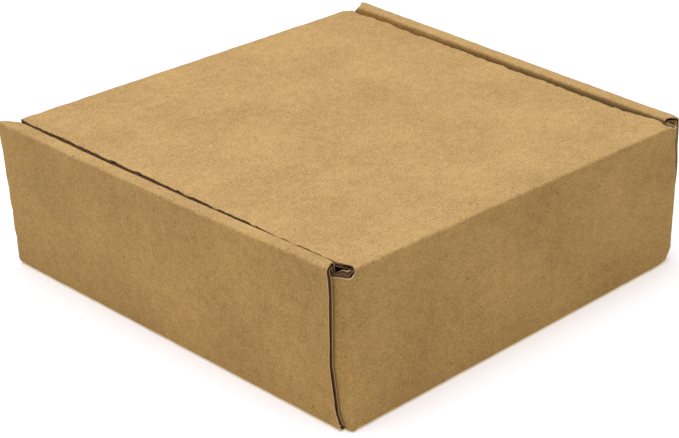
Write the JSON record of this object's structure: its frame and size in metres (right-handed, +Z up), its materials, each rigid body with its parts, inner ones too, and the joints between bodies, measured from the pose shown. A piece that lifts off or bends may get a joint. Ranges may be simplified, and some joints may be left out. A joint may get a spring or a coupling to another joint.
{
  "type": "corrugated mailer box",
  "caption": "Low square mailer box folded from fine-flute kraft board, with rolled double side walls and a hinged lid that tucks in behind the front wall.",
  "frame": {"origin": "middle of the underside, on the surface that the box stands on", "axes": "+Z up; +X along the lid's crease; +Y towards the rear wall that carries the lid, so the tuck flap is at -Y"},
  "size_m": [0.154, 0.1526, 0.0512],
  "materials": {
    "kraft_board": "matt brown kraft liner with fine fibres and dark specks, unprinted"
  },
  "bodies": {
    "tray": {"tray": "kraft_board"},
    "lid": {"lid": "kraft_board"}
  },
  "joints": [
    {"name": "lid_hinge", "type": "hinge", "parent": "tray", "child": "lid", "pos_m": [0, 0.07569, 0.04984], "axis": [-1, 0, 0], "range_deg": [0, 175]}
  ]
}
